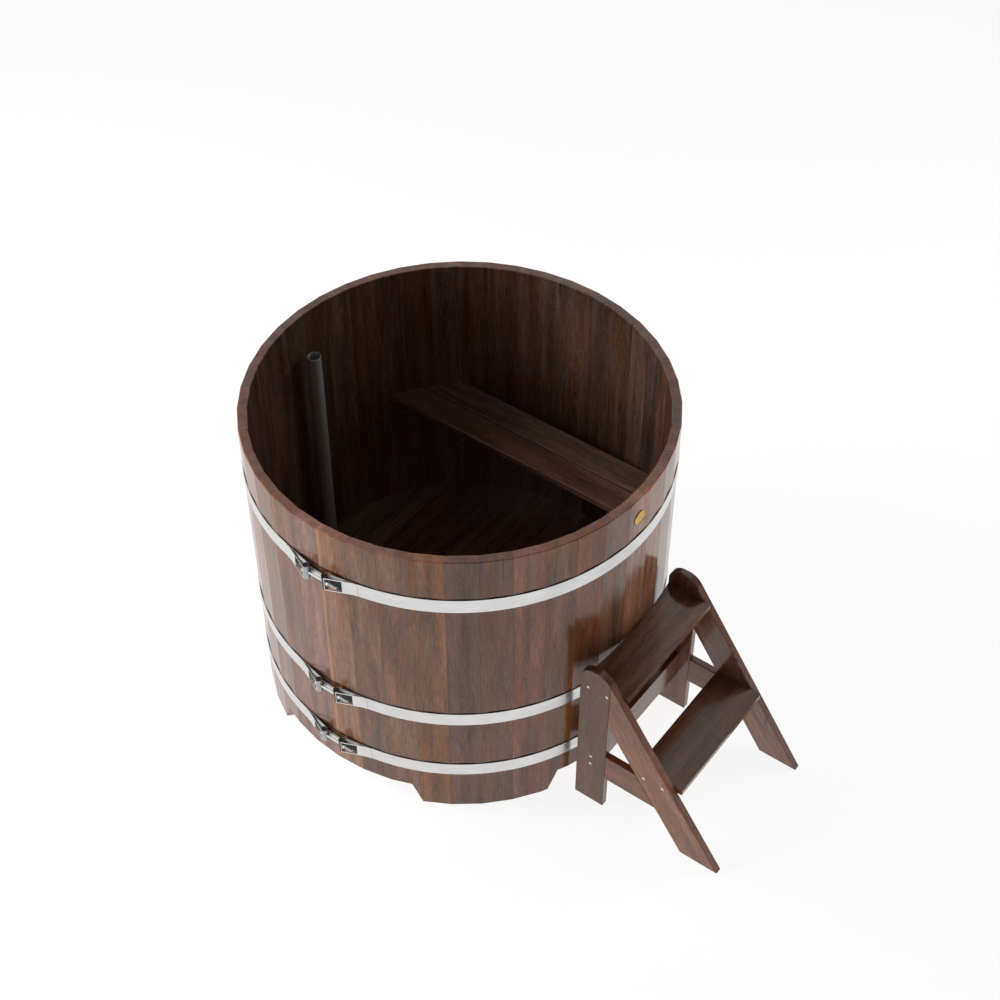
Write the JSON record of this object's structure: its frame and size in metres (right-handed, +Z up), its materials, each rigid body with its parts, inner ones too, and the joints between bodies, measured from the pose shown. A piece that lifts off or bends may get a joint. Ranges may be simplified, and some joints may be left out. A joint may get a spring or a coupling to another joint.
{
  "type": "wooden plunge tub",
  "caption": "Round wooden plunge tub of hooped staves with an inside bench, a pull-out overflow standpipe and a free-standing step ladder.",
  "frame": {"origin": "centre of the whole set's footprint, on the ground", "axes": "+Z up, +Y from the ladder to the drain, +X towards the bench"},
  "size_m": [1.5336, 2.0838, 1.283],
  "materials": {
    "wall_wood": "dark stain under satin varnish",
    "floor_wood": "dark stain",
    "bench_wood": "dark stain under satin varnish",
    "ladder_wood": "dark stain under satin varnish",
    "dowel_wood": "bare",
    "hoop_steel": "satin",
    "clamp_steel": "satin",
    "screw_steel": "bright",
    "pipe_plastic": "semi-matt",
    "drain_plastic": "semi-matt",
    "seal_rubber": "matt",
    "badge_brass": "polished"
  },
  "bodies": {
    "tub": {"foot_staves_front_left": "wall_wood", "foot_staves_front_right": "wall_wood", "foot_staves_back_right": "wall_wood", "foot_staves_back_left": "wall_wood", "wall_staves_front": "wall_wood", "wall_staves_right": "wall_wood", "wall_staves_back": "wall_wood", "wall_staves_left": "wall_wood", "floor_boards": "floor_wood", "floor_board_drain": "floor_wood", "floor_battens": "floor_wood", "floor_screws": "screw_steel", "hoop_upper": "hoop_steel", "clamp_trunnions_upper": "clamp_steel", "clamp_bolt_upper": "clamp_steel", "hoop_middle": "hoop_steel", "clamp_trunnions_middle": "clamp_steel", "clamp_bolt_middle": "clamp_steel", "hoop_lower": "hoop_steel", "clamp_trunnions_lower": "clamp_steel", "clamp_bolt_lower": "clamp_steel", "drain_seat": "drain_plastic", "drain_seal": "seal_rubber", "drain_gasket": "seal_rubber", "drain_lock_nut": "drain_plastic", "drain_outlet": "drain_plastic", "bench_plank_front": "bench_wood", "bench_plank_back": "bench_wood", "bench_ledger_near": "bench_wood", "bench_ledger_far": "bench_wood", "bench_tie": "bench_wood", "bench_screws": "screw_steel", "badge_disc": "badge_brass"},
    "ladder": {"ladder_post_left": "ladder_wood", "ladder_leg_left": "ladder_wood", "ladder_brace_left": "ladder_wood", "ladder_post_right": "ladder_wood", "ladder_leg_right": "ladder_wood", "ladder_brace_right": "ladder_wood", "ladder_tread_upper": "ladder_wood", "ladder_tread_lower": "ladder_wood", "ladder_rear_rail": "ladder_wood", "ladder_screws": "screw_steel", "ladder_dowels": "dowel_wood"},
    "standpipe": {"standpipe": "pipe_plastic"},
    "washer_upper": {"clamp_washer_upper": "clamp_steel"},
    "nut_upper": {"clamp_nut_upper": "clamp_steel"},
    "washer_middle": {"clamp_washer_middle": "clamp_steel"},
    "nut_middle": {"clamp_nut_middle": "clamp_steel"},
    "washer_lower": {"clamp_washer_lower": "clamp_steel"},
    "nut_lower": {"clamp_nut_lower": "clamp_steel"}
  },
  "joints": [
    {"name": "ladder_slide", "type": "slide", "parent": "tub", "child": "ladder", "axis": [0, -1, 0], "range_m": [0, 0.5]},
    {"name": "standpipe_lift", "type": "slide", "parent": "tub", "child": "standpipe", "axis": [0, 0, 1], "range_m": [0, 0.3]},
    {"name": "washer_slide_upper", "type": "slide", "parent": "tub", "child": "washer_upper", "axis": [0, -1, 0], "range_m": [0, 0.012]},
    {"name": "nut_turn_upper", "type": "hinge", "parent": "washer_upper", "child": "nut_upper", "pos_m": [-0.75524, 0.2378, 1.081], "axis": [0, -1, 0], "range_deg": [0, 2880]},
    {"name": "washer_slide_middle", "type": "slide", "parent": "tub", "child": "washer_middle", "axis": [0, -1, 0], "range_m": [0, 0.012]},
    {"name": "nut_turn_middle", "type": "hinge", "parent": "washer_middle", "child": "nut_middle", "pos_m": [-0.75524, 0.2378, 0.497], "axis": [0, -1, 0], "range_deg": [0, 2880]},
    {"name": "washer_slide_lower", "type": "slide", "parent": "tub", "child": "washer_lower", "axis": [0, -1, 0], "range_m": [0, 0.012]},
    {"name": "nut_turn_lower", "type": "hinge", "parent": "washer_lower", "child": "nut_lower", "pos_m": [-0.75524, 0.2378, 0.214], "axis": [0, -1, 0], "range_deg": [0, 2880]}
  ],
  "couplings": [
    {"joint": "washer_slide_upper", "follows": "nut_turn_upper", "m_per_rad": 0.00023873},
    {"joint": "washer_slide_middle", "follows": "nut_turn_middle", "m_per_rad": 0.00023873},
    {"joint": "washer_slide_lower", "follows": "nut_turn_lower", "m_per_rad": 0.00023873}
  ]
}
